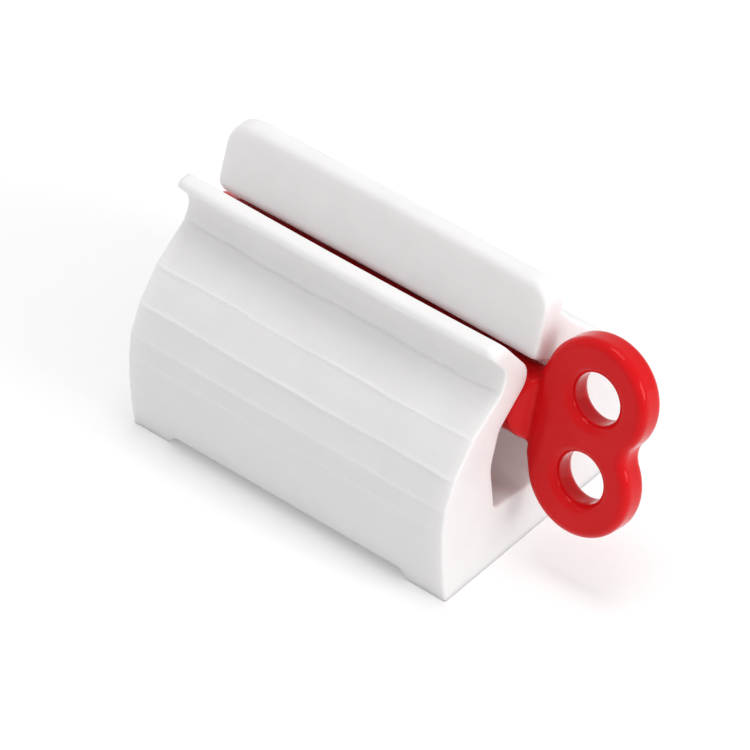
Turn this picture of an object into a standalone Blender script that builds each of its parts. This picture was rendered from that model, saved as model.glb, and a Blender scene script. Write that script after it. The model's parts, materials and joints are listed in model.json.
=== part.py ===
"""Toothpaste tube squeezer: a one-piece stand with a winding channel, and a key with a split shaft.

The key's shaft lies in the stand's channel. A tube's flat tail passes down through the throat
between the front lip and the back slab, sits in the shaft's slit, and is wound up by the wing.
The shaft runs along X, the wing is at +X, and the lip is at -Y. Metres, +Z up.
"""

import math

import bmesh
import bpy
from mathutils import Vector
from mathutils.geometry import intersect_line_line

# Stand, overall
body_length = 0.055
body_depth = 0.040
body_height = 0.040
wall = 0.002
end_plate = 0.0022

# Stand, faceted outer face: shares of half the depth and of the shoulder's height
shoulder_height = 0.0249
face_shares = (
    (0.965, 0.0),
    (0.99, 0.169),
    (1.0, 0.341),
    (0.995, 0.51),
    (0.97, 0.647),
    (0.875, 0.819),
    (0.69, 1.0),
)

# Stand, winding channel: half widths, and rises above the floor
channel_floor_height = 0.0096
channel_floor_dip = 0.001
channel_floor_half_width = 0.0092
channel_floor_radius = 0.001
channel_side_rise = 0.0079
channel_half_width = 0.010
channel_side_radius = 0.006
channel_crown_rise = 0.013
channel_crown_half_width = 0.0096
channel_crown_radius = 0.003

# Stand, the two brows over the channel: rises above its crown
front_brow_offset = 0.0042
front_brow_rise = 0.0042
back_brow_offset = 0.0015
back_brow_rise = 0.0051
brow_radius = 0.0015

# Stand, throat between the lip and the slab: rise above the front brow
throat_rise = 0.0033
throat_step = 0.0002
throat_offset = 0.0019
throat_gap = 0.0015
throat_front_radius = 0.002
throat_back_radius = 0.001

# Stand, crease and neck, rises above the front brow, and front lip, a rise above the neck
crease_rise = 0.0021
crease_offset = 0.0082
neck_rise = 0.005
neck_offset = 0.0065
neck_radius = 0.0032
lip_rise = 0.0053
lip_reach = 0.0103
lip_thickness = 0.0028
lip_tip_radius = 0.00045
lip_edge_radius = 0.0005
lip_corner_radius = 0.0017

# Stand, back slab, which leans back, and the hip below it, at a share of the body's height
slab_lean = math.radians(18)
slab_thickness = 0.0036
slab_front_radius = 0.0013
slab_back_radius = 0.0017
slab_corner_radius = 0.0033
slab_foot_share = 0.4
slab_foot_radius = 0.0015
hip_share = 0.8
hip_offset = 0.0068

# Stand, the long notch that leaves a foot at each corner
foot_length = 0.0078
notch_height = 0.0017
notch_slope = 0.003

# Key, wing: a figure of eight with two holes, filled to a straight side at the shaft
lobe_radius = 0.0083
lobe_spacing = 0.0126
wing_thickness = 0.0044
wing_edge_radius = 0.0008
waist_radius = 0.0015
web_proud = 0.0005
web_drop = 0.0008
web_corner_radius = 0.004
hole_radius = 0.0039
hole_spacing = 0.0122
hole_offset = 0.0003
wing_tilt = math.radians(14.5)
wing_gap = 0.0012

# Key, shaft, and the neck that joins it to the wing
shaft_radius = 0.005
shaft_tip_chamfer = 0.0006
shaft_tip_reach = 0.0015
neck_length = 0.0015
slit_width = 0.0018
slit_wall = 0.003
seat_clearance = 0.0006

# Faceting, and how far cutters run past what they cut
corner_steps = 5
end_steps = 6
edge_steps = 3
shaft_sides = 44
lobe_steps = 24
web_steps = 3
waist_steps = 5
hole_sides = 44
arc_share = 0.9
overrun = 0.002

# Places worked out from the sizes above
half_depth = body_depth / 2
half_length = body_length / 2
crown_height = channel_floor_height + channel_crown_rise
front_brow_height = crown_height + front_brow_rise
back_brow_height = crown_height + back_brow_rise
body_x = -(wing_gap + 2 * lobe_radius - shaft_tip_reach) / 2
wing_x = body_x + half_length + wing_gap + lobe_radius
wing_side = lobe_radius + web_proud


def new_object(name, bm, material):
    """Turns a closed bmesh into a named object, with its faces pointing out."""
    bmesh.ops.recalc_face_normals(bm, faces=bm.faces)
    mesh = bpy.data.meshes.new(name)
    bm.to_mesh(mesh)
    bm.free()
    item = bpy.data.objects.new(name, mesh)
    bpy.context.scene.collection.objects.link(item)
    if material:
        mesh.materials.append(material)
    return item


def plastic(name, color, roughness):
    """A moulded plastic in one colour."""
    material = bpy.data.materials.new(name)
    material.use_nodes = True
    shader = material.node_tree.nodes["Principled BSDF"]
    shader.inputs["Base Color"].default_value = (*color, 1)
    shader.inputs["Roughness"].default_value = roughness
    shader.inputs["Metallic"].default_value = 0
    return material


def combine(item, tool, operation):
    """Cuts an object by a tool or joins the two, and hides the tool from the model."""
    tool.hide_render = True
    tool.display_type = "WIRE"
    modifier = item.modifiers.new(tool.name, "BOOLEAN")
    modifier.operation = operation
    modifier.solver = "EXACT"
    modifier.object = tool


def loft(bm, rings):
    """A closed solid through rings that all have the same number of points."""
    loops = [[bm.verts.new(point) for point in ring] for ring in rings]
    count = len(loops[0])
    for lower, upper in zip(loops, loops[1:]):
        for i in range(count):
            j = (i + 1) % count
            bm.faces.new((lower[i], lower[j], upper[j], upper[i]))
    bm.faces.new(list(reversed(loops[0])))
    bm.faces.new(loops[-1])


def prism(name, outline, low_x, high_x):
    """A solid of one (y, z) outline, extruded along X."""
    bm = bmesh.new()
    loft(bm, [[(x, y, z) for y, z in outline] for x in (low_x, high_x)])
    return new_object(name, bm, None)


def rounded(corners):
    """Rounds an outline's (y, z, radius) corners. Arcs that crowd a side take a set share of it."""
    count = len(corners)
    places = [Vector(corner[:2]) for corner in corners]
    sides = [places[(i + 1) % count] - places[i] for i in range(count)]
    tangents = [math.tan(sides[i].angle(-sides[i - 1]) / 2) for i in range(count)]
    reaches = [corner[2] / tangent for corner, tangent in zip(corners, tangents)]
    points = []
    for i, place in enumerate(places):
        if reaches[i] == 0:
            points.append(tuple(place))
            continue
        crowding = max(
            1,
            (reaches[i - 1] + reaches[i]) / (sides[i - 1].length * arc_share),
            (reaches[i] + reaches[(i + 1) % count]) / (sides[i].length * arc_share),
        )
        reach = reaches[i] / crowding
        start = place - sides[i - 1].normalized() * reach
        end = place + sides[i].normalized() * reach
        middle = (start + end) / 2
        centre = place + (middle - place) * (reach**2 / (middle - place).dot(start - place))
        turn = (start - centre).angle_signed(end - centre)
        for step in range(corner_steps + 1):
            cos, sin = math.cos(turn * step / corner_steps), math.sin(turn * step / corner_steps)
            arm = start - centre
            points.append((centre.x + arm.x * cos + arm.y * sin, centre.y + arm.y * cos - arm.x * sin))
    return points


def lowered(corner, foot, drop):
    """Slides a (y, z, radius) corner down its own face, towards the face's foot, by a height."""
    share = drop / (corner[1] - foot[1])
    return (corner[0] + (foot[0] - corner[0]) * share, corner[1] - drop, corner[2])


def corner_drop(radius, distance):
    """How far a rounded corner has dropped at a distance from the end."""
    inside = max(radius - distance, 0)
    return radius - math.sqrt(radius**2 - inside**2)


def stand_section(lip_drop, slab_drop):
    """The stand's outline in Y and Z, front face first, with its two top edges let down."""
    face = [(half_depth * depth, shoulder_height * height, 0) for depth, height in face_shares]
    crease = (-crease_offset, front_brow_height + crease_rise, 0)
    neck = (-neck_offset, front_brow_height + neck_rise, neck_radius)
    lip_height = neck[1] + lip_rise
    lip_tip = (-lip_reach, lip_height, lip_tip_radius)
    lip_inner = (-lip_reach + lip_thickness, lip_height, lip_edge_radius)
    throat_height = front_brow_height + throat_rise
    throat_front = (-throat_offset - throat_gap / 2, throat_height, throat_front_radius)
    throat_back_height = throat_height + throat_step
    throat_back = (-throat_offset + throat_gap / 2, throat_back_height, throat_back_radius)
    channel_side = [
        (channel_crown_half_width, crown_height, channel_crown_radius),
        (channel_half_width, channel_floor_height + channel_side_rise, channel_side_radius),
        (channel_floor_half_width, channel_floor_height, channel_floor_radius),
    ]

    slab_rise = body_height - throat_back[1]
    slab_width = slab_thickness / math.cos(slab_lean)
    slab_front = (throat_back[0] + slab_rise * math.tan(slab_lean), body_height, slab_front_radius)
    slab_back = (slab_front[0] + slab_width, body_height, slab_back_radius)
    hip_height = body_height * hip_share
    foot_height = hip_height + (body_height - hip_height) * slab_foot_share
    foot_y = slab_back[0] - (body_height - foot_height) * math.tan(slab_lean)
    slab_foot = (foot_y, foot_height, slab_foot_radius)
    return rounded([
        *[(-y, z, radius) for y, z, radius in face],
        crease,
        neck,
        lowered(lip_tip, neck, lip_drop),
        lowered(lip_inner, throat_front, lip_drop),
        throat_front,
        (-front_brow_offset, front_brow_height, brow_radius),
        *[(-y, z, radius) for y, z, radius in channel_side],
        (0, channel_floor_height - channel_floor_dip, 0),
        *reversed(channel_side),
        (back_brow_offset, back_brow_height, brow_radius),
        throat_back,
        lowered(slab_front, throat_back, slab_drop),
        lowered(slab_back, slab_foot, slab_drop),
        slab_foot,
        (hip_offset, hip_height, 0),
        *reversed(face),
    ])


def cavity_outline():
    """The hollow underside's outline: inside the outer face and outside the channel, by a wall."""
    outer = [(half_depth * depth - wall, shoulder_height * height) for depth, height in face_shares]
    inner = [
        (channel_crown_half_width + wall, crown_height - wall),
        (channel_half_width + wall, channel_floor_height + channel_side_rise),
        (channel_floor_half_width + wall, channel_floor_height - channel_floor_dip - wall),
    ]
    side = [(outer[0][0], -overrun), *outer[:-1], *inner]
    return [(-y, z) for y, z in side] + list(reversed(side))


def build_stand():
    """The stand: a lofted body with rounded top corners, hollow below, notched between its feet."""
    turns = [math.pi / 2 * step / end_steps for step in range(end_steps + 1)]
    distances = [slab_corner_radius * (1 - math.cos(turn)) for turn in turns]
    stations = [(-half_length + distance, distance) for distance in distances]
    stations += [(half_length - distance, distance) for distance in reversed(distances)]
    rings = []
    for x, distance in stations:
        lip_drop = corner_drop(lip_corner_radius, distance)
        slab_drop = corner_drop(slab_corner_radius, distance)
        rings.append([(body_x + x, y, z) for y, z in stand_section(lip_drop, slab_drop)])
    bm = bmesh.new()
    loft(bm, rings)
    stand = new_object("stand", bm, plastic("white_plastic", (0.86, 0.85, 0.85), 0.42))

    cavity_end = half_length - end_plate
    cavity = prism("cavity_cutter", cavity_outline(), body_x - cavity_end, body_x + cavity_end)
    combine(stand, cavity, "DIFFERENCE")

    notch_end = half_length - foot_length
    notch = [
        (-notch_end - notch_slope, -notch_height),
        (-notch_end, notch_height),
        (notch_end, notch_height),
        (notch_end + notch_slope, -notch_height),
    ]
    bm = bmesh.new()
    reach = half_depth + overrun
    loft(bm, [[(body_x + x, y, z) for x, z in notch] for y in (-reach, reach)])
    combine(stand, new_object("notch_cutter", bm, None), "DIFFERENCE")
    return stand


def wing_outline(inset):
    """The wing's outline in X and Z, drawn in by an inset: two lobes, a waist and a web."""
    half_spacing = lobe_spacing / 2
    waist_x = math.sqrt((lobe_radius + waist_radius)**2 - half_spacing**2)
    tangent = math.atan2(half_spacing, waist_x)
    web_x = wing_side - web_corner_radius
    web_z = half_spacing - web_drop
    span = math.hypot(web_x, web_drop)
    shoulder = math.pi + math.atan2(web_drop, web_x)
    shoulder -= math.acos((lobe_radius - web_corner_radius) / span)
    lobe = lobe_radius - inset
    corner = web_corner_radius - inset
    waist = waist_radius + inset
    turn = 2 * math.pi
    arcs = (
        (0, half_spacing, lobe, -tangent, shoulder, lobe_steps, 0),
        (-web_x, web_z, corner, shoulder, math.pi, web_steps, 0),
        (-web_x, -web_z, corner, math.pi, turn - shoulder, web_steps, 0),
        (0, -half_spacing, lobe, turn - shoulder, turn + tangent, lobe_steps, 0),
        (waist_x, 0, waist, math.pi + tangent, math.pi - tangent, waist_steps, 1),
    )
    points = []
    for x, z, radius, start, end, steps, skipped in arcs:
        for step in range(skipped, steps + 1 - skipped):
            angle = start + (end - start) * step / steps
            points.append((x + radius * math.cos(angle), z + radius * math.sin(angle)))
    return points


def build_wing(bm):
    """The wing: a flat plate across Y whose rim is rounded on both faces."""
    rings = []
    turns = [math.pi / 2 * step / edge_steps for step in range(edge_steps + 1)]
    for side, order in ((-1, turns), (1, list(reversed(turns)))):
        for turn in order:
            y = side * (wing_thickness / 2 - wing_edge_radius * (1 - math.cos(turn)))
            inset = wing_edge_radius * (1 - math.sin(turn))
            rings.append([(x, y, z) for x, z in wing_outline(inset)])
    loft(bm, rings)


def build_shaft(bm, tip_x):
    """The round shaft, from its chamfered tip to the neck, which flattens into the wing."""
    tip_radius = shaft_radius - shaft_tip_chamfer
    core = (wing_thickness - wing_edge_radius) / 2
    profile = (
        (tip_x, tip_radius, tip_radius),
        (tip_x + shaft_tip_chamfer, shaft_radius, shaft_radius),
        (-wing_side - neck_length, shaft_radius, shaft_radius),
        (-wing_side, wing_thickness / 2, shaft_radius),
        (0, core, shaft_radius / 2),
    )
    turns = [2 * math.pi * side / shaft_sides for side in range(shaft_sides)]
    loft(bm, [
        [(x, half_y * math.cos(turn), half_z * math.sin(turn)) for turn in turns]
        for x, half_y, half_z in profile
    ])


def moved_roof(crown, brow):
    """One sloping roof of the channel, moved in by the shaft's radius and its clearance."""
    along = (brow - crown).normalized()
    inward = Vector((0, along.z, -along.y))
    if inward.z > 0:
        inward.negate()
    step = inward * (shaft_radius + seat_clearance)
    return crown + step, brow + step


def shaft_seat():
    """Where the shaft's axis crosses the Y and Z plane: as close to one roof as to the other."""
    front = moved_roof(
        Vector((0, -channel_crown_half_width, crown_height)),
        Vector((0, -front_brow_offset, front_brow_height)),
    )
    back = moved_roof(
        Vector((0, channel_crown_half_width, crown_height)),
        Vector((0, back_brow_offset, back_brow_height)),
    )
    return intersect_line_line(*front, *back)[0]


def build_key():
    """The key, which turns about its own X axis: the shaft, the wing, the slit and the holes."""
    bm = bmesh.new()
    build_wing(bm)
    key = new_object("key", bm, plastic("red_plastic", (0.62, 0.012, 0.02), 0.22))

    tip_x = body_x - half_length - shaft_tip_reach - wing_x
    bm = bmesh.new()
    build_shaft(bm, tip_x)
    shaft = new_object("shaft_core", bm, None)
    combine(key, shaft, "UNION")

    bm = bmesh.new()
    reach = wing_thickness / 2 + overrun
    turns = [2 * math.pi * step / hole_sides for step in range(hole_sides)]
    for centre_z in (-hole_spacing / 2, hole_spacing / 2):
        circle = [
            (hole_offset + hole_radius * math.cos(turn), centre_z + hole_radius * math.sin(turn))
            for turn in turns
        ]
        loft(bm, [[(x, y, z) for x, z in circle] for y in (-reach, reach)])
    holes = new_object("hole_cutter", bm, None)
    combine(key, holes, "DIFFERENCE")

    reach = shaft_radius + overrun
    half_slit = slit_width / 2
    outline = [(-reach, -half_slit), (reach, -half_slit), (reach, half_slit), (-reach, half_slit)]
    slit_end = -lobe_radius - wing_gap - slit_wall
    slit = prism("slit_cutter", outline, tip_x - overrun, slit_end)
    combine(key, slit, "DIFFERENCE")

    for tool in (shaft, holes, slit):
        tool.parent = key
    seat = shaft_seat()
    key.location = (wing_x, seat.y, seat.z)
    key.rotation_euler = (-wing_tilt, 0, 0)
    return key


def main():
    for item in list(bpy.data.objects):
        bpy.data.objects.remove(item, do_unlink=True)
    for item in (build_stand(), build_key()):
        item.data.shade_smooth()
        item.data.set_sharp_from_angle(angle=math.radians(30))


main()
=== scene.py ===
"""Toothpaste tube squeezer: a faceted white stand with a throat, and a red key with a split shaft.

Sizes are in millimetres and become metres when a mesh is made. X runs along the shaft, the front
lip is at -Y, Z is up, and the origin is on the table in the middle of the footprint.
"""

import json
import math

import bmesh
import bpy
import numpy as np
from mathutils import Matrix, Vector


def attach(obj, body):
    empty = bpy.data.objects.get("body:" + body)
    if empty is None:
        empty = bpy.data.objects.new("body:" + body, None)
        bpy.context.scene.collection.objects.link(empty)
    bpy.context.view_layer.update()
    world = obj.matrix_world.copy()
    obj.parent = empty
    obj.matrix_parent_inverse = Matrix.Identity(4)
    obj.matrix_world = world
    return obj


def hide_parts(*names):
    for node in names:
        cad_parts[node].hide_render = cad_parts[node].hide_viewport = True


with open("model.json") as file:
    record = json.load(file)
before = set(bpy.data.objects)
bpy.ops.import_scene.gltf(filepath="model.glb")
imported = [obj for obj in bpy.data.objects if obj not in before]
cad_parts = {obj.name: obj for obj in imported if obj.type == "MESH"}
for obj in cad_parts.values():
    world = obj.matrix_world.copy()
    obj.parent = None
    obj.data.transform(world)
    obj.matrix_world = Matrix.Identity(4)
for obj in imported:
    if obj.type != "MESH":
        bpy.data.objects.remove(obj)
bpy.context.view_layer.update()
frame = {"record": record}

MM = 0.001
SAME_PLACE = 1e-6  # points no further apart than this are one point
WELD = 1e-7  # the same for welding, in metres
LEAST_LENGTH = 1e-9  # keeps a direction with no length from a division by zero

# Stand: its middle along X, its size, and its walls
BODY_X = -8.15
HALF_LENGTH = 27.5
HALF_DEPTH = 20.0
WALL = 2.0
END_PLATE = 2.2

# The lip's and the slab's upper corners seen from the front, and how far each bows out midway
LIP_CORNER = 1.5
SLAB_CORNER = 3.3
BOW = 0.28

# Radius that the slab's back edges lose for each millimetre that its end is let down
SLAB_BACK_SHARPENING = 0.26
SLAB_FOOT_SHARPENING = 0.34

# Corners of the stand's outline in Y and Z, with their rounding radii
FACE = [
    (19.3, 0.0, 0.0),
    (19.8, 4.2, 1.5),
    (20.0, 8.5, 1.5),
    (19.9, 12.7, 1.5),
    (19.4, 16.1, 1.2),
    (17.5, 20.4, 0.8),
    (13.8, 24.9, 0.8),
]
CREASE = (-8.2, 28.9, 0.1)
NECK = (-6.5, 31.8, 3.2)
LIP_TIP = (-10.6, 37.1, 0.8)
LIP_INNER = (-7.5, 37.1, 0.5)
THROAT_FRONT = (-2.5, 30.1, 3.1)
FRONT_BROW = (-2.9, 27.6, 3.0)
CHANNEL_SIDE = [(8.3, 23.0, 3.0), (10.0, 17.5, 6.0), (9.2, 9.6, 1.0)]
CHANNEL_FLOOR = (0.0, 8.6, 0.5)
BACK_BROW = (1.5, 27.7, 1.5)
THROAT_BACK = (-1.36, 30.3, 1.7)
SLAB_FRONT = (2.0, 40.0, 1.3)
SLAB_BACK = (5.8, 40.0, 1.7)
SLAB_FOOT = (4.271, 35.2, 1.5)
HIP = (6.8, 32.0, 0.8)

# Radius of the end edges along each side of the outline
END_ROUNDING = np.array(
    [0.4] * 8  # front face, up to the neck
    + [0.45] * 2  # outer face and top of the lip
    + [0.35] * 10  # inner face of the lip, and the channel
    + [1.3]  # underside of the slab
    + [0.5] * 3  # front, top and back of the slab
    + [0.6] * 8  # back face
    + [0.0]  # base
)

# What is cut out: the hollow's inner side in Y and Z, and the notch in X and Z with its radii
HOLLOW_INNER = [(11.6, 20.6), (12.0, 17.5), (11.2, 6.6)]
NOTCH = [(-22.7, -1.7, 0.0), (-19.7, 1.7, 1.2), (19.7, 1.7, 1.2), (22.7, -1.7, 0.0)]
CUTTER_MARGIN = 2.0

# How finely the outline is divided: steps in an arc, and spacings along the skin
ARC_STEPS = 6
SKIN_SPACING = 0.8
LINE_SPACING = 0.1
LINE_REACH = 1.1
CORNER_CLEARANCE = 0.07
LEAST_SPACING = 0.05
LEAST_RADIUS = 0.05

# Where the skin has rings along X: steps in each end radius, and spacings
END_STEPS = 8
END_RADII = (0.45, 0.9, LIP_CORNER, SLAB_CORNER)
LEAST_RING_SPACING = 0.02
RING_SPACING = 1.0

# Raised mould lines: index of the facet edge, height, and how far it falls from left to right
MOULD_LINES = [(6, 0.24, 0.2), (5, 0.22, 0.2), (4, 0.1, 0.15), (3, 0.09, 0.15), (2, 0.07, 0.1)]
LINE_HALF_WIDTH = 0.24
LINE_FALL = (0.15, 0.25)  # share of the length where the fall starts, and share that it takes
LINE_FADE = (0.3, 1.2)  # distance from the end where a line starts, and its way to full height
LINE_STRENGTH = 0.75  # mean share of a line's height, which the waves raise and lower
CREASE_DEPTH = 0.16
CREASE_HALF_WIDTH = 0.2

# Slow waves along X: size, radians per millimetre, and shift from line to line
LINE_WAVES = [(0.07, 0.31, 2.1), (0.04, 0.83, 1.3)]
STRENGTH_WAVES = [(0.25, 0.21, 1.7)]
CREASE_WAVES = [(0.16, 0.23, 0.6), (0.08, 0.71, 2.0)]

# Shading of the stand: edges over this angle stay sharp, and large faces lead the normals
SHARP_ANGLE = math.radians(38)
NORMAL_WEIGHT = 60

# Key: the middle of its wing and the shaft's axis are the joint's place
WING_X, SHAFT_Y, SHAFT_Z = (
    place / MM for place in frame["record"]["behaviour"]["joints"][0]["pos_m"]
)
WING_TILT = math.radians(14.5)
WING_GAP = 1.2
WING_THICKNESS = 4.4
WING_EDGE = 1.2
LOBE_RADIUS = 8.294
HALF_SPACING = 6.3
WAIST_RADIUS = 3.5
WEB_SIDE = 8.8
WEB_CORNER = 4.0
WEB_DROP = 0.8
HOLE_RADIUS = 3.65
HOLE_EDGE = 1.3
HOLE_X = 0.3
HOLE_Z = 6.1
NECK_LENGTH = 1.5
NECK_EDGE = 0.5
NECK_FILLET = 0.7
SHAFT_RADIUS = 5.0
SHAFT_REACH = 1.5
SHAFT_TIP = BODY_X - HALF_LENGTH - SHAFT_REACH - WING_X
TIP_EDGE = 0.6
SLIT_WIDTH = 1.8
SLIT_EDGE = 0.3
SLIT_WALL = 3.0
SLIT_END = -LOBE_RADIUS - WING_GAP - SLIT_WALL

# Grid that the key is meshed on, round the joint: start, end and spacing of each stretch
TIP_GRID = (SHAFT_TIP - 0.45, SHAFT_TIP + 1.4, 0.15)
SHAFT_GRID = (SHAFT_TIP + 1.5, -14.9, 0.85)
WING_GRID = (-14.5, LOBE_RADIUS + 0.6, 0.26)
DEPTH_GRID = (-5.35, 5.4, 0.25)
HEIGHT_GRID = (-15.0, 15.05, 0.25)
HEIGHT_SHIFT = 0.013  # keeps the grid off the slit's flat walls

# How the mesh's points are pulled onto the key's surface
PULL_STEPS = 3
LONGEST_PULL = 0.2
SLOPE_STEP = 0.02
LEAST_SLOPE = 0.5

# Colours, and the range that most noise values are in
NOISE_RANGE = (0.3, 0.7)
WHITE_DEEP = (0.846, 0.834, 0.835)
WHITE_PALE = (0.876, 0.865, 0.867)
WHITE_STREAK = (0.83, 0.82, 0.821)
RED_DEEP = (0.62, 0.005, 0.007)
RED_PALE = (0.67, 0.007, 0.010)
SHEET_GREY = (0.82, 0.82, 0.82)

# Studio: the floor's sheet, and the lamps' places in metres with their powers in watts
SHEET_SIZE = 3000.0
SHEET_LIFT = 0.2
SURROUND = 0.73
LAMP_SIZE = 0.34
LAMP_AIM = (0.0, 0.0, 0.02)
TOP_LAMP = ((0.0, 0.1, 0.8), 1.5)
RIGHT_LAMP = ((0.7, 0.1, 0.3), 2.05)

# Camera, matched to the photograph's edges: angles in degrees, lens in millimetres, then metres
CAMERA_AZIMUTH = 40.16
CAMERA_ELEVATION = 42.03
CAMERA_ROLL = -0.15
CAMERA_LENS = 306.24
CAMERA_SENSOR = 36
CAMERA_NEAR = 0.01
CAMERA_DISTANCE = 0.855
CAMERA_TARGET = (BODY_X * MM, 0.0, 0.015)
TARGET_LEFT = 0.00062
TARGET_DOWN = 0.00291


def turn_outwards(mesh, weld=0):
    """Points a closed mesh's faces outwards, after welding points closer than a distance."""
    bm = bmesh.new()
    bm.from_mesh(mesh)
    if weld:
        bmesh.ops.remove_doubles(bm, verts=bm.verts, dist=weld)
    bmesh.ops.recalc_face_normals(bm, faces=bm.faces)
    bm.to_mesh(mesh)
    bm.free()


def new_piece(name, points, faces, material=None):
    """Makes one object at the origin from points in millimetres and faces as index rows."""
    mesh = bpy.data.meshes.new(name)
    mesh.from_pydata((np.asarray(points) * MM).tolist(), [], faces)
    mesh.update()
    turn_outwards(mesh)
    piece = bpy.data.objects.new(name, mesh)
    bpy.context.scene.collection.objects.link(piece)
    if material:
        mesh.materials.append(material)
    return piece


def bridge(rows, count):
    """Quad faces between neighbouring rows of a closed grid, and one face over each end."""
    row, column = np.meshgrid(np.arange(rows - 1), np.arange(count), indexing="ij")
    here, above = row * count, (row + 1) * count
    after = (column + 1) % count
    quads = np.stack([here + column, here + after, above + after, above + column], -1)
    ends = [list(range(count - 1, -1, -1)), list(range((rows - 1) * count, rows * count))]
    return quads.reshape(-1, 4).tolist() + ends


def prism(name, outline, low, high, axis):
    """A solid of one closed outline, carried straight along X or Y from low to high."""
    outline = np.asarray(outline, float)
    column = "XY".index(axis)
    rings = [np.insert(outline, column, place, axis=1) for place in (low, high)]
    return new_piece(name, np.concatenate(rings), bridge(2, len(outline)))


def settle(piece):
    """Bakes an object's modifiers into a clean closed mesh whose faces point outwards."""
    graph = bpy.context.evaluated_depsgraph_get()
    mesh = bpy.data.meshes.new_from_object(piece.evaluated_get(graph), depsgraph=graph)
    piece.modifiers.clear()
    piece.data = mesh
    turn_outwards(mesh, WELD)


def cut(piece, tools):
    """Takes the tools out of a piece with exact booleans, and throws the tools away."""
    for tool in tools:
        modifier = piece.modifiers.new(tool.name, "BOOLEAN")
        modifier.operation = "DIFFERENCE"
        modifier.solver = "EXACT"
        modifier.object = tool
    settle(piece)
    for tool in tools:
        bpy.data.objects.remove(tool, do_unlink=True)


def unit(vectors):
    """Each row of an array, brought to length 1."""
    return vectors / np.maximum(np.linalg.norm(vectors, axis=1, keepdims=True), LEAST_LENGTH)


def thinned(values, gap):
    """Sorted values, without those that follow the one before by no more than a gap."""
    return values[np.concatenate([[True], np.diff(values) > gap])]


def drawn_in(corners, inset):
    """Corners and radii of an outline whose sides each move inwards by their own amount.

    A new corner is where the two moved sides cross. Outer radii shrink and inner radii grow.
    """
    spots = np.array([corner[:2] for corner in corners])
    along = unit(np.roll(spots, -1, 0) - spots)
    inwards = np.stack([along[:, 1], -along[:, 0]], 1)
    level = (spots * inwards).sum(1) + inset
    other, other_level = np.roll(inwards, 1, 0), np.roll(level, 1)
    turn = inwards[:, 0] * other[:, 1] - inwards[:, 1] * other[:, 0]
    y = (level * other[:, 1] - other_level * inwards[:, 1]) / turn
    z = (other_level * inwards[:, 0] - level * other[:, 0]) / turn
    mean = (inset + np.roll(inset, 1)) / 2
    radii = np.array([corner[2] for corner in corners])
    shrunk = np.maximum(radii - mean, np.minimum(radii, LEAST_RADIUS))
    return np.column_stack([y, z, np.where(turn > 0, shrunk, radii + mean)])


def rounded(corners):
    """Swaps each corner for an arc that touches both its sides.

    The centre is on the corner's bisector, at radius / sin(half angle), and the arc starts at
    radius / tan(half angle) along the side before.
    """
    spots = np.array([corner[:2] for corner in corners])
    radii = np.array([corner[2] for corner in corners])
    before = unit(np.roll(spots, 1, 0) - spots)
    after = unit(np.roll(spots, -1, 0) - spots)
    half = np.arccos(np.clip((before * after).sum(1), -1, 1)) / 2
    reach = radii / np.tan(half)
    centre = spots + unit(before + after) * (radii / np.sin(half))[:, None]
    start = spots + before * reach[:, None] - centre
    end = spots + after * reach[:, None] - centre
    turn = np.arctan2(start[:, 0] * end[:, 1] - start[:, 1] * end[:, 0], (start * end).sum(1))
    angle = turn[:, None] * np.linspace(0, 1, ARC_STEPS + 1)
    cos, sin = np.cos(angle), np.sin(angle)
    y = centre[:, :1] + start[:, :1] * cos - start[:, 1:] * sin
    z = centre[:, 1:] + start[:, :1] * sin + start[:, 1:] * cos
    return np.stack([y, z], -1).reshape(-1, 2)


def arc_middle(corner):
    """Index of the point in the middle of a corner's arc."""
    return corner * (ARC_STEPS + 1) + ARC_STEPS // 2


def corner_drop(radius, distance):
    """Height that a quarter circle loses near an end: r - sqrt(r^2 - (r - distance)^2)."""
    return radius - np.sqrt(radius**2 - np.maximum(radius - distance, 0) ** 2)


def lowered(corner, foot, drop):
    """Slides a corner down its own face, towards the face's foot, by a height."""
    share = drop / (corner[1] - foot[1])
    return (corner[0] + (foot[0] - corner[0]) * share, corner[1] - drop, corner[2])


def shifted(corner, shift):
    """Moves a corner along Y."""
    return (corner[0] + shift, corner[1], corner[2])


def sharpened(corner, amount):
    """Takes an amount off a corner's radius."""
    return (corner[0], corner[1], corner[2] - amount)


def stand_corners(lip_drop=0.0, slab_drop=0.0, spread=0.0):
    """The outline's corners, from the front foot over the lip and round the channel to the back.

    The lip and the slab are let down at their ends, where the slab's back corners get
    sharper, and they stand further apart by the spread.
    """
    slab_back = shifted(lowered(SLAB_BACK, SLAB_FOOT, slab_drop), spread)
    slab_foot = shifted(SLAB_FOOT, spread / 2)
    return [
        *[(-y, z, radius) for y, z, radius in FACE],
        shifted(CREASE, -spread / 2),
        shifted(NECK, -spread),
        shifted(lowered(LIP_TIP, NECK, lip_drop), -spread),
        shifted(lowered(LIP_INNER, THROAT_FRONT, lip_drop), -spread),
        shifted(THROAT_FRONT, -spread),
        FRONT_BROW,
        *[(-y, z, radius) for y, z, radius in CHANNEL_SIDE],
        CHANNEL_FLOOR,
        *reversed(CHANNEL_SIDE),
        BACK_BROW,
        shifted(THROAT_BACK, spread),
        shifted(lowered(SLAB_FRONT, THROAT_BACK, slab_drop), spread),
        sharpened(slab_back, SLAB_BACK_SHARPENING * slab_drop),
        sharpened(slab_foot, SLAB_FOOT_SHARPENING * slab_drop),
        HIP,
        *reversed(FACE),
    ]


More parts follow.
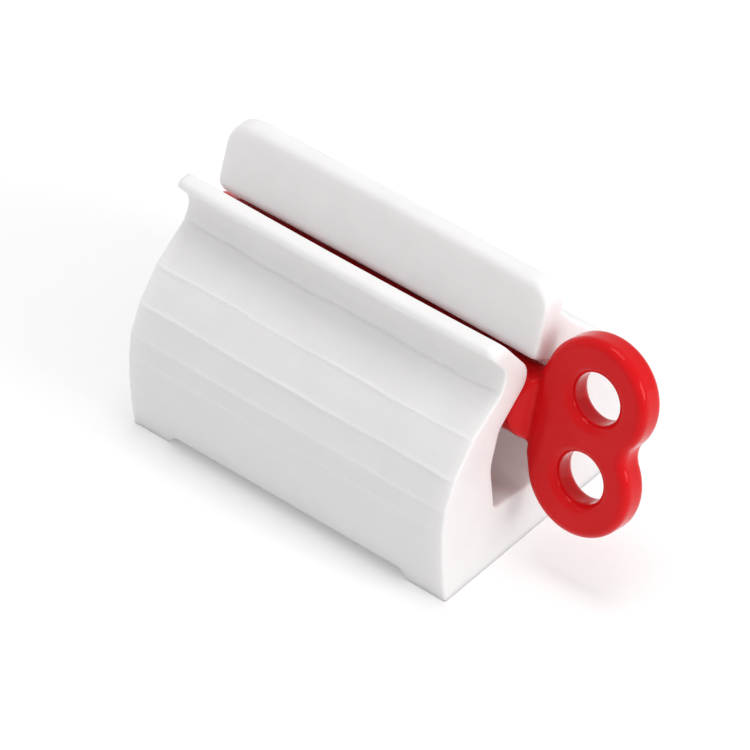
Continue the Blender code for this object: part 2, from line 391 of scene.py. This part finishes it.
def sample_places(outline, lines):
    """Places of the skin's points along the outline: evenly spaced, and dense by the mould lines.

    They come counted in the outline's points, then in millimetres along it. The third result is
    how many millimetres along each of the outline's points is.
    """
    steps = np.linalg.norm(np.roll(outline, -1, 0) - outline, axis=1)
    travel = np.concatenate([[0], np.cumsum(steps)])
    corners, last = travel[:-1], travel[-2]
    even = np.arange(0, last, SKIN_SPACING)
    band = np.arange(-LINE_REACH, LINE_REACH, LINE_SPACING)
    filler = np.concatenate([even, *[travel[line] + band for line in lines]])
    gap = np.abs(filler[:, None] - corners[None, :]).min(1)
    filler = thinned(np.sort(filler[gap > CORNER_CLEARANCE]), LEAST_SPACING)
    along = np.sort(np.concatenate([thinned(corners, SAME_PLACE), filler]))
    along = along[along <= last]
    return np.interp(along, travel, np.arange(len(travel))), along, travel


def ring_places():
    """Places of the skin's rings along X, from the stand's middle: dense where the ends are round.

    At an end they are at radius * (1 - cos(turn)) for even turns, for each of the end's radii.
    """
    share = 1 - np.cos(np.linspace(0, math.pi / 2, END_STEPS))
    near = np.concatenate([radius * share for radius in END_RADII])
    near = thinned(np.unique(near.round(3)), LEAST_RING_SPACING)
    straight = HALF_LENGTH - SLAB_CORNER
    middle = np.arange(RING_SPACING - straight, straight - RING_SPACING / 2, RING_SPACING)
    return np.concatenate([near - HALF_LENGTH, middle, (HALF_LENGTH - near)[::-1]])


def stand_ring(x, places):
    """The rounded outline at one place along X, read at places counted in its points.

    Near an end it is drawn in by a quarter circle, and towards the middle the lip and the slab
    bow apart by a parabola.
    """
    distance = HALF_LENGTH - abs(x)
    corners = stand_corners(
        corner_drop(LIP_CORNER, distance),
        corner_drop(SLAB_CORNER, distance),
        BOW * (1 - (x / HALF_LENGTH) ** 2),
    )
    outline = rounded(drawn_in(corners, corner_drop(END_ROUNDING, distance)))
    outline = np.vstack([outline, outline[:1]])
    index = np.arange(len(outline))
    return np.stack([np.interp(places, index, outline[:, axis]) for axis in (0, 1)], 1)


def ring_normals(ring):
    """Outward directions along a closed ring: square to the mean of the sides that meet there."""
    ahead = unit(np.roll(ring, -1, 0) - ring)
    tangent = unit(ahead + np.roll(ahead, 1, 0))
    return np.stack([-tangent[:, 1], tangent[:, 0]], 1)


def waved(start, waves, x, order):
    """A value that wavers along X: start + the sum of size * sin(rate * x + shift * order)."""
    for size, rate, shift in waves:
        start += size * math.sin(x * rate + order * shift)
    return start


def line_lift(x, along, front, back, crease):
    """How far the mould lines raise the skin, and the crease lowers it, at one place along X.

    Each is a bell curve along the outline, height * exp(-(offset / half width)^2). A mould line
    falls by a smooth step from left to right, wavers, and fades out at the ends.
    """
    share = (x + HALF_LENGTH) / (2 * HALF_LENGTH)
    ease = np.clip((share - LINE_FALL[0]) / LINE_FALL[1], 0, 1)
    ease = ease * ease * (3 - 2 * ease)
    fade = np.clip((HALF_LENGTH - abs(x) - LINE_FADE[0]) / LINE_FADE[1], 0, 1)
    lift = np.zeros(len(along))
    for side, middles in ((1, front), (-1, back)):
        for order, (middle, (_, height, fall)) in enumerate(zip(middles, MOULD_LINES)):
            wander = waved(-fall * ease, LINE_WAVES, x, order)
            strength = height * waved(LINE_STRENGTH, STRENGTH_WAVES, x, order)
            offset = side * (along - middle) - wander
            lift += fade * strength * np.exp(-(offset / LINE_HALF_WIDTH) ** 2)
    offset = along - crease - waved(0, CREASE_WAVES, x, 1)
    return lift - fade * CREASE_DEPTH * np.exp(-(offset / CREASE_HALF_WIDTH) ** 2)


def hollow_cutter():
    """The space under the channel, inside the faces' walls and the end plates."""
    outer = [(y - WALL, z) for y, z, _ in FACE[:-1]]
    side = [(outer[0][0], -CUTTER_MARGIN), *outer, *HOLLOW_INNER]
    outline = [(-y, z) for y, z in side] + list(reversed(side))
    reach = HALF_LENGTH - END_PLATE
    return prism("hollow_cutter", outline, BODY_X - reach, BODY_X + reach, "X")


def notch_cutter():
    """The long notch under both faces. Its lower corners are sharp, so each keeps one point."""
    outline = rounded(NOTCH)[ARC_STEPS:-ARC_STEPS]
    reach = HALF_DEPTH + CUTTER_MARGIN
    return prism("notch_cutter", [(BODY_X + x, z) for x, z in outline], -reach, reach, "Y")


def stand_shell(material):
    """The stand's skin: a rounded outline carried along X, with the hollow and the notch cut out.

    A point is outline(s, x) + normal(s, x) * lift(s, x), kept inside the stand's height and depth.
    """
    last = len(stand_corners()) - 1
    front = [arc_middle(line[0]) for line in MOULD_LINES]
    back = [arc_middle(last - line[0]) for line in MOULD_LINES]
    crease = arc_middle(len(FACE))
    places, along, travel = sample_places(rounded(stand_corners()), front + back + [crease])

    rings = []
    for x in ring_places():
        ring = stand_ring(x, places)
        lift = line_lift(x, along, travel[front], travel[back], travel[crease])
        moved = ring + ring_normals(ring) * lift[:, None]
        on_table = ring[:, 1] < SAME_PLACE
        moved[:, 1] = np.where(on_table, 0, np.maximum(moved[:, 1], 0))
        moved[:, 0] = np.clip(moved[:, 0], -HALF_DEPTH, HALF_DEPTH)
        rings.append(np.insert(moved, 0, BODY_X + x, axis=1))
    faces = bridge(len(rings), len(places))
    shell = new_piece("stand_shell", np.concatenate(rings), faces, material)

    cut(shell, [hollow_cutter(), notch_cutter()])
    shell.data.shade_smooth()
    shell.data.set_sharp_from_angle(angle=SHARP_ANGLE)
    weighted = shell.modifiers.new("even_normals", "WEIGHTED_NORMAL")
    weighted.keep_sharp = True
    weighted.weight = NORMAL_WEIGHT
    return shell


def round_join(a, b, radius):
    """Joins two distances with a fillet: outside both, the corner is a quarter circle."""
    hollow = np.hypot(np.maximum(radius - a, 0), np.maximum(radius - b, 0))
    return np.maximum(radius, np.minimum(a, b)) - hollow


def round_keep(a, b, radius):
    """Keeps what two distances share, with the edge between them rounded to a quarter circle."""
    swell = np.hypot(np.maximum(radius + a, 0), np.maximum(radius + b, 0))
    return np.minimum(-radius, np.maximum(a, b)) + swell


def wing_figure(x, up):
    """Distance to the wing's outline at x and at a height above or below its middle.

    Two discs have a waist arc between them at the right. At the left a web bulges to a straight
    side with round corners, and the line that touches a corner and a disc joins them.
    """
    disc = np.hypot(x, up - HALF_SPACING) - LOBE_RADIUS
    waist_x = math.sqrt((LOBE_RADIUS + WAIST_RADIUS) ** 2 - HALF_SPACING**2)
    waist = WAIST_RADIUS - np.hypot(x - waist_x, up)
    by_waist = up * waist_x + x * HALF_SPACING < waist_x * HALF_SPACING
    right = np.where(by_waist, waist, disc)

    web_x, web_z = WEB_SIDE - WEB_CORNER, HALF_SPACING - WEB_DROP
    shoulder = math.pi + math.atan2(WEB_DROP, web_x)
    shoulder -= math.acos((LOBE_RADIUS - WEB_CORNER) / math.hypot(web_x, WEB_DROP))
    slope = x * math.cos(shoulder) + (up - HALF_SPACING) * math.sin(shoulder) - LOBE_RADIUS
    corner = np.hypot(x + web_x, up - web_z) - WEB_CORNER
    by_disc = np.arctan2(up - HALF_SPACING, x) % (2 * math.pi) < shoulder
    by_corner = np.arctan2(up - web_z, x + web_x) > shoulder
    left = np.where(by_disc, disc, np.where(by_corner, corner, slope))
    left = np.where(up < web_z, -x - WEB_SIDE, left)
    return np.where(x < 0, left, right)


def key_distance(points):
    """Distance to the key's surface, negative inside, from shapes that are joined and taken out.

    The wing is a plate of its figure. The shaft is a round bar, flattened by two sloping planes
    where it meets the plate. The two holes and the slit are taken out, and each edge is a
    quarter circle.
    """
    x, y, z = points[..., 0], points[..., 1], points[..., 2]
    up = np.abs(z)
    above_plate = np.abs(y) - WING_THICKNESS / 2
    plate = round_keep(wing_figure(x, up), above_plate, WING_EDGE)

    rise = (SHAFT_RADIUS - WING_THICKNESS / 2) / NECK_LENGTH
    flat = (above_plate + (x + WEB_SIDE) * rise) / math.hypot(1, rise)
    shaft = round_keep(np.hypot(y, z) - SHAFT_RADIUS, flat, NECK_EDGE)
    shaft = round_keep(shaft, SHAFT_TIP - x, TIP_EDGE)
    solid = round_join(plate, shaft, NECK_FILLET)

    hole = HOLE_RADIUS - np.hypot(x - HOLE_X, up - HOLE_Z)
    solid = round_keep(solid, hole, HOLE_EDGE)
    slit = np.maximum(up - SLIT_WIDTH / 2, x - SLIT_END)
    return round_keep(solid, -slit, SLIT_EDGE)


def edge_ends(axis):
    """Slices of a grid that hold the lower and the upper ends of its edges along one axis."""
    low, high = [slice(None)] * 3, [slice(None)] * 3
    low[axis], high[axis] = slice(0, -1), slice(1, None)
    return tuple(low), tuple(high)


def cell_points(grid, value):
    """One point in each cell that the surface crosses, and each cell's number, or -1.

    The point is the mean of the crossings on the cell's edges.
    """
    inside = value < 0
    cells = tuple(size - 1 for size in value.shape)
    total = np.zeros(cells + (3,))
    hits = np.zeros(cells)
    for axis in range(3):
        low, high = edge_ends(axis)
        crossed = inside[low] != inside[high]
        span = np.where(crossed, value[low] - value[high], 1)
        share = np.where(crossed, value[low] / span, 0)
        spot = grid[low] + (grid[high] - grid[low]) * share[..., None]
        others = [other for other in range(3) if other != axis]
        for shifts in ((0, 0), (0, 1), (1, 0), (1, 1)):
            part = [slice(None)] * 3
            for other, shift in zip(others, shifts):
                part[other] = slice(shift, shift + cells[other])
            part = tuple(part)
            total += np.where(crossed[part][..., None], spot[part], 0)
            hits += crossed[part]
    used = hits > 0
    number = np.full(cells, -1)
    number[used] = np.arange(used.sum())
    return total[used] / hits[used][:, None], number


def pulled_in(points, distance):
    """Moves points onto the surface: a few steps of distance / slope^2, along the slope."""
    for _ in range(PULL_STEPS):
        here = distance(points)
        rises = [
            distance(points + SLOPE_STEP * way) - distance(points - SLOPE_STEP * way)
            for way in np.eye(3)
        ]
        slope = np.stack(rises, -1) / (2 * SLOPE_STEP)
        square = np.maximum((slope**2).sum(-1), LEAST_SLOPE**2)
        pull = np.clip(here / square, -LONGEST_PULL, LONGEST_PULL)
        points = points - slope * pull[:, None]
    return points


def cell_faces(value, number):
    """A quad of four cells round each grid edge that the surface crosses, facing outwards."""
    inside = value < 0
    faces = []
    for axis in range(3):
        low, high = edge_ends(axis)
        others = [other for other in range(3) if other != axis]
        inner = tuple(slice(1, -1) if place in others else slice(None) for place in range(3))
        crossed = (inside[low] != inside[high])[inner]
        starts_inside = inside[low][inner][crossed]
        corners = []
        for first, second in ((0, 0), (1, 0), (1, 1), (0, 1)):
            cell = np.argwhere(crossed)
            cell[:, others[0]] += first
            cell[:, others[1]] += second
            corners.append(number[tuple(cell.T)])
        quads = np.stack(corners, 1)
        turned = ~(starts_inside ^ (axis == 1))
        quads[turned] = quads[turned][:, ::-1]
        faces.append(quads)
    return np.concatenate(faces)


def net_surface(distance, axes):
    """A surface net over a grid: points in the cells that the surface crosses, joined by quads."""
    grid = np.stack(np.meshgrid(*axes, indexing="ij"), -1)
    value = distance(grid)
    points, number = cell_points(grid, value)
    return pulled_in(points, distance), cell_faces(value, number)


def key_shell(material):
    """The key in one skin: its distance formula, meshed round the joint, then tilted and placed."""
    x = np.concatenate([np.arange(*stretch) for stretch in (TIP_GRID, SHAFT_GRID, WING_GRID)])
    y, z = np.arange(*DEPTH_GRID), np.arange(*HEIGHT_GRID) + HEIGHT_SHIFT
    points, faces = net_surface(key_distance, (np.unique(x.round(4)), y, z))
    cos, sin = math.cos(-WING_TILT), math.sin(-WING_TILT)
    turned = np.stack([
        points[:, 0] + WING_X,
        points[:, 1] * cos - points[:, 2] * sin + SHAFT_Y,
        points[:, 1] * sin + points[:, 2] * cos + SHAFT_Z,
    ], 1)
    shell = new_piece("key_shell", turned, faces.tolist(), material)
    shell.data.shade_smooth()
    return shell


class Nodes:
    """Short calls for building a material's nodes and links."""

    def __init__(self, name):
        self.material = bpy.data.materials.new(name)
        self.material.use_nodes = True
        self.tree = self.material.node_tree
        self.shader = self.tree.nodes["Principled BSDF"]

    def new(self, kind, **values):
        """A new node whose named inputs, with _ for a space, are set or linked."""
        node = self.tree.nodes.new("ShaderNode" + kind)
        self.fill(node, {name.replace("_", " "): value for name, value in values.items()})
        return node

    def fill(self, node, values):
        """Sets a node's inputs by name or number, or links them where the value is an output."""
        for name, value in values.items():
            if isinstance(value, bpy.types.NodeSocket):
                self.tree.links.new(value, node.inputs[name])
            else:
                node.inputs[name].default_value = value

    def finish(self, **values):
        """Fills the shader's own inputs, with _ for a space in their names."""
        self.fill(self.shader, {name.replace("_", " "): value for name, value in values.items()})
        return self.material

    def place(self):
        """Object coordinates."""
        return self.new("TexCoord").outputs["Object"]

    def stretched(self, scale):
        """Object coordinates, scaled along each axis."""
        return self.new("Mapping", Vector=self.place(), Scale=scale).outputs["Vector"]

    def noise(self, vector, scale, detail, roughness=0.5):
        """Cloudy noise."""
        values = {"Vector": vector, "Scale": scale, "Detail": detail, "Roughness": roughness}
        return self.new("TexNoise", **values).outputs["Fac"]

    def spread(self, value, low, high):
        """Noise spread out to run from low to high."""
        start, end = NOISE_RANGE
        limits = {"From_Min": start, "From_Max": end, "To_Min": low, "To_Max": high}
        return self.new("MapRange", Value=value, **limits).outputs["Result"]

    def blend(self, factor, first, second):
        """A mix of two colours, each a colour or an output."""
        node = self.new("Mix")
        node.data_type = "RGBA"
        colours = [(*item, 1) if isinstance(item, tuple) else item for item in (first, second)]
        self.fill(node, {0: factor, 6: colours[0], 7: colours[1]})
        return node.outputs[2]

    def bump(self, height, strength, distance, **under):
        """Normals bumped by a height, over those that come in as Normal."""
        values = {"Height": height, "Strength": strength, "Distance": distance, **under}
        return self.new("Bump", **values).outputs["Normal"]

    def largest(self, *values):
        """The largest of several outputs."""
        highest = values[0]
        for value in values[1:]:
            node = self.new("Math")
            node.operation = "MAXIMUM"
            self.fill(node, {0: highest, 1: value})
            highest = node.outputs[0]
        return highest

    def times(self, value, number):
        """An output times a number."""
        node = self.new("Math")
        node.operation = "MULTIPLY"
        self.fill(node, {0: value, 1: number})
        return node.outputs[0]


def white_plastic():
    """Satin white: faint cloudy colour, drawn-out flow streaks along X, and a fine mould grain."""
    nodes = Nodes("satin_white_plastic")
    clouds = nodes.noise(nodes.place(), scale=190, detail=4)
    streaks = nodes.noise(nodes.stretched((70, 900, 900)), scale=1, detail=5, roughness=0.6)
    grain = nodes.noise(nodes.place(), scale=2600, detail=2)
    cloudy = nodes.blend(nodes.spread(clouds, 0, 1), WHITE_DEEP, WHITE_PALE)
    flow = nodes.bump(streaks, strength=0.35, distance=0.00012)
    return nodes.finish(
        Base_Color=nodes.blend(nodes.spread(streaks, 0, 0.4), cloudy, WHITE_STREAK),
        Roughness=nodes.spread(clouds, 0.36, 0.5),
        Specular_IOR_Level=0.45,
        Subsurface_Weight=0.7,
        Subsurface_Radius=(1.0, 0.93, 0.92),
        Subsurface_Scale=0.0022,
        Normal=nodes.bump(grain, strength=0.25, distance=0.00002, Normal=flow),
    )


def red_plastic():
    """Glossy red: slight depth of colour, a soft ripple of the mould, and faint handling marks."""
    nodes = Nodes("glossy_red_plastic")
    clouds = nodes.noise(nodes.place(), scale=160, detail=3)
    ripple = nodes.noise(nodes.place(), scale=420, detail=2)
    marks = nodes.noise(nodes.stretched((500, 500, 2400)), scale=1, detail=4, roughness=0.6)
    rippled = nodes.bump(ripple, strength=0.2, distance=0.00008)
    return nodes.finish(
        Base_Color=nodes.blend(nodes.spread(clouds, 0, 1), RED_DEEP, RED_PALE),
        Roughness=nodes.spread(marks, 0.09, 0.15),
        Specular_IOR_Level=0.33,
        Specular_Tint=(1.0, 0.35, 0.35, 1.0),
        Normal=nodes.bump(marks, strength=0.05, distance=0.00002, Normal=rippled),
    )


def floor():
    """A pale sheet that the camera and reflections see lifted to white, with the soft shadow."""
    nodes = Nodes("white_sheet")
    path = nodes.new("LightPath").outputs
    rays = ("Is Camera Ray", "Is Glossy Ray", "Is Transmission Ray")
    material = nodes.finish(
        Base_Color=(*SHEET_GREY, 1),
        Roughness=0.6,
        Specular_IOR_Level=0.2,
        Emission_Color=(1, 1, 1, 1),
        Emission_Strength=nodes.times(nodes.largest(*[path[ray] for ray in rays]), SHEET_LIFT),
    )
    half = SHEET_SIZE / 2
    corners = [(-half, -half, 0), (half, -half, 0), (half, half, 0), (-half, half, 0)]
    new_piece("white_sheet", corners, [[0, 1, 2, 3]], material)


def softbox(name, place, power):
    """A square soft lamp that faces the object."""
    data = bpy.data.lights.new(name, "AREA")
    data.shape = "SQUARE"
    data.size = LAMP_SIZE
    data.energy = power
    lamp = bpy.data.objects.new(name, data)
    lamp.location = place
    lamp.rotation_euler = (Vector(LAMP_AIM) - Vector(place)).to_track_quat("-Z", "Y").to_euler()
    bpy.context.scene.collection.objects.link(lamp)


def studio():
    """A pale even surround, with one broad lamp above and behind and one to the right."""
    world = bpy.data.worlds.new("studio")
    world.use_nodes = True
    surround = world.node_tree.nodes["Background"].inputs
    surround["Color"].default_value = (1, 1, 1, 1)
    surround["Strength"].default_value = SURROUND
    bpy.context.scene.world = world
    softbox("top_lamp", *TOP_LAMP)
    softbox("right_lamp", *RIGHT_LAMP)


def camera():
    """A long lens above the right front."""
    azimuth, elevation = math.radians(CAMERA_AZIMUTH), math.radians(CAMERA_ELEVATION)
    level = math.cos(elevation)
    back = Vector((math.sin(azimuth) * level, -math.cos(azimuth) * level, math.sin(elevation)))
    right = Vector((math.cos(azimuth), math.sin(azimuth), 0))
    up = back.cross(right)
    target = Vector(CAMERA_TARGET) - right * TARGET_LEFT - up * TARGET_DOWN
    data = bpy.data.cameras.new("camera")
    data.sensor_width = CAMERA_SENSOR
    data.lens = CAMERA_LENS
    data.clip_start = CAMERA_NEAR
    item = bpy.data.objects.new("camera", data)
    roll = Matrix.Rotation(math.radians(CAMERA_ROLL), 3, "Z")
    turn = Matrix((right, up, back)).transposed() @ roll
    item.matrix_world = Matrix.Translation(target + back * CAMERA_DISTANCE) @ turn.to_4x4()
    bpy.context.scene.collection.objects.link(item)
    bpy.context.scene.camera = item


camera()
floor()
studio()

stand = stand_shell(white_plastic())
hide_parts("stand")
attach(stand, "stand")

key = key_shell(red_plastic())
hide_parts("key")
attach(key, "key")

bpy.context.scene.view_settings.view_transform = "Standard"
